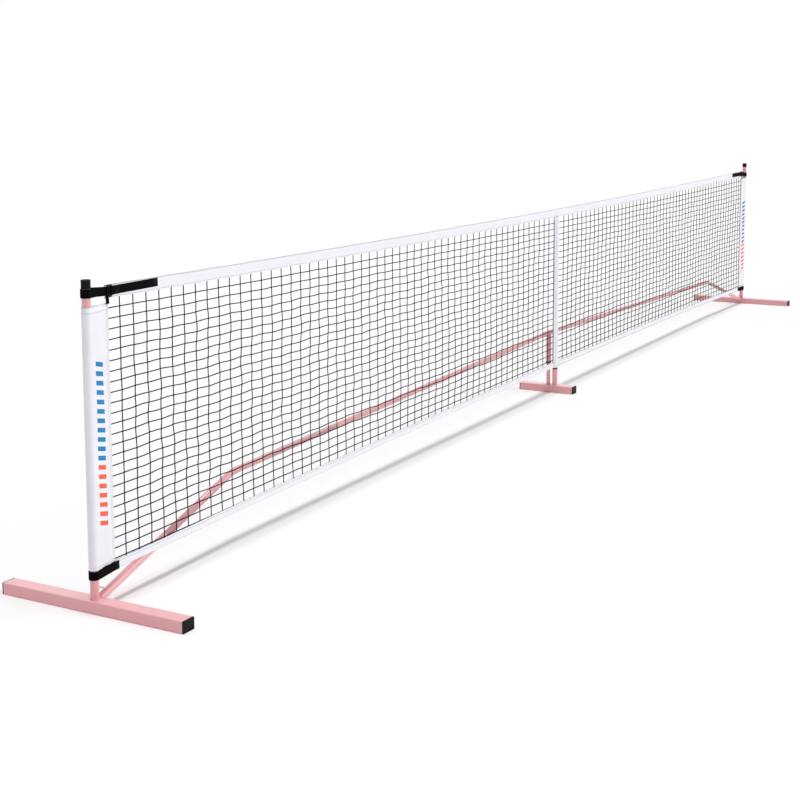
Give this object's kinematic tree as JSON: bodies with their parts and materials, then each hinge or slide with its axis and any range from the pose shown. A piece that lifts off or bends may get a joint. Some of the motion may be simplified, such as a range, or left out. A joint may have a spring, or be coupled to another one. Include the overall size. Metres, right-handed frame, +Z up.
{
  "type": "portable pickleball net",
  "caption": "Freestanding court net on a plug-together steel frame: floor feet, end posts in fabric sleeves, a middle pole, and webbing straps with buckles.",
  "frame": {"origin": "on the floor, at the middle of the net between the two end posts", "axes": "+X along the net towards the right post, +Y across the net towards the rails, +Z up"},
  "size_m": [6.756, 0.65, 0.96],
  "materials": {
    "frame_pink": "satin",
    "black_plastic": "matte",
    "spring_steel": "satin",
    "netting": "matte",
    "white_tape": "matte",
    "black_webbing": "matte"
  },
  "bodies": {
    "frame": {"left_foot_tube": "frame_pink", "right_foot_tube": "frame_pink", "left_front_plug": "black_plastic", "left_back_plug": "black_plastic", "right_front_plug": "black_plastic", "right_back_plug": "black_plastic", "left_post_socket": "frame_pink", "right_post_socket": "frame_pink", "left_arm_stub": "frame_pink", "right_arm_stub": "frame_pink", "left_brace_rod": "frame_pink", "right_brace_rod": "frame_pink", "left_arm_tube": "frame_pink", "right_arm_tube": "frame_pink", "left_outer_rail": "frame_pink", "right_outer_rail": "frame_pink", "left_inner_rail": "frame_pink", "right_inner_rail": "frame_pink", "left_outer_clip": "spring_steel", "right_outer_clip": "spring_steel", "left_inner_clip": "spring_steel", "right_inner_clip": "spring_steel", "middle_foot_tube": "frame_pink", "middle_front_plug": "black_plastic", "middle_back_plug": "black_plastic", "middle_upright": "frame_pink", "rail_tee": "frame_pink", "tee_bush": "black_plastic", "pole_socket": "frame_pink", "pole_socket_bush": "black_plastic"},
    "left_post": {"left_post": "frame_pink", "left_post_cap": "black_plastic"},
    "right_post": {"right_post": "frame_pink", "right_post_cap": "black_plastic"},
    "net": {"middle_pole": "frame_pink", "pole_top_cap": "black_plastic", "pole_bottom_cap": "black_plastic", "left_netting": "netting", "right_netting": "netting", "top_tape": "white_tape", "left_bottom_tape": "white_tape", "right_bottom_tape": "white_tape", "left_sleeve": "white_tape", "right_sleeve": "white_tape", "middle_sleeve": "white_tape", "left_top_strap": "black_webbing", "right_top_strap": "black_webbing", "left_buckle_loop": "black_webbing", "right_buckle_loop": "black_webbing", "left_bottom_strap": "black_webbing", "right_bottom_strap": "black_webbing"},
    "left_buckle": {"left_buckle": "black_plastic"},
    "right_buckle": {"right_buckle": "black_plastic"},
    "left_outer_button": {"left_outer_button": "spring_steel"},
    "right_outer_button": {"right_outer_button": "spring_steel"},
    "left_inner_button": {"left_inner_button": "spring_steel"},
    "right_inner_button": {"right_inner_button": "spring_steel"}
  },
  "joints": [
    {"name": "net_lift", "type": "slide", "parent": "frame", "child": "net", "axis": [0, 0, 1], "range_m": [0, 0.9]},
    {"name": "left_post_lift", "type": "slide", "parent": "frame", "child": "left_post", "axis": [0, 0, 1], "range_m": [0, 0.06]},
    {"name": "right_post_lift", "type": "slide", "parent": "frame", "child": "right_post", "axis": [0, 0, 1], "range_m": [0, 0.06]},
    {"name": "left_buckle_tilt", "type": "hinge", "parent": "net", "child": "left_buckle", "pos_m": [-3.255, -0.0057, 0.8925], "axis": [0, 0, 1], "range_deg": [0, 40]},
    {"name": "right_buckle_tilt", "type": "hinge", "parent": "net", "child": "right_buckle", "pos_m": [3.255, -0.0057, 0.8925], "axis": [0, 0, -1], "range_deg": [0, 40]},
    {"name": "left_outer_button_press", "type": "slide", "parent": "frame", "child": "left_outer_button", "axis": [0.0239, 0, -0.9997], "range_m": [0, 0.0032], "stiffness_N_per_m": 600, "springref_m": -0.002, "deforming": ["left_outer_clip"]},
    {"name": "left_inner_button_press", "type": "slide", "parent": "frame", "child": "left_inner_button", "axis": [0.0239, 0, -0.9997], "range_m": [0, 0.0032], "stiffness_N_per_m": 600, "springref_m": -0.002, "deforming": ["left_inner_clip"]},
    {"name": "right_outer_button_press", "type": "slide", "parent": "frame", "child": "right_outer_button", "axis": [-0.0239, 0, -0.9997], "range_m": [0, 0.0032], "stiffness_N_per_m": 600, "springref_m": -0.002, "deforming": ["right_outer_clip"]},
    {"name": "right_inner_button_press", "type": "slide", "parent": "frame", "child": "right_inner_button", "axis": [-0.0239, 0, -0.9997], "range_m": [0, 0.0032], "stiffness_N_per_m": 600, "springref_m": -0.002, "deforming": ["right_inner_clip"]}
  ]
}
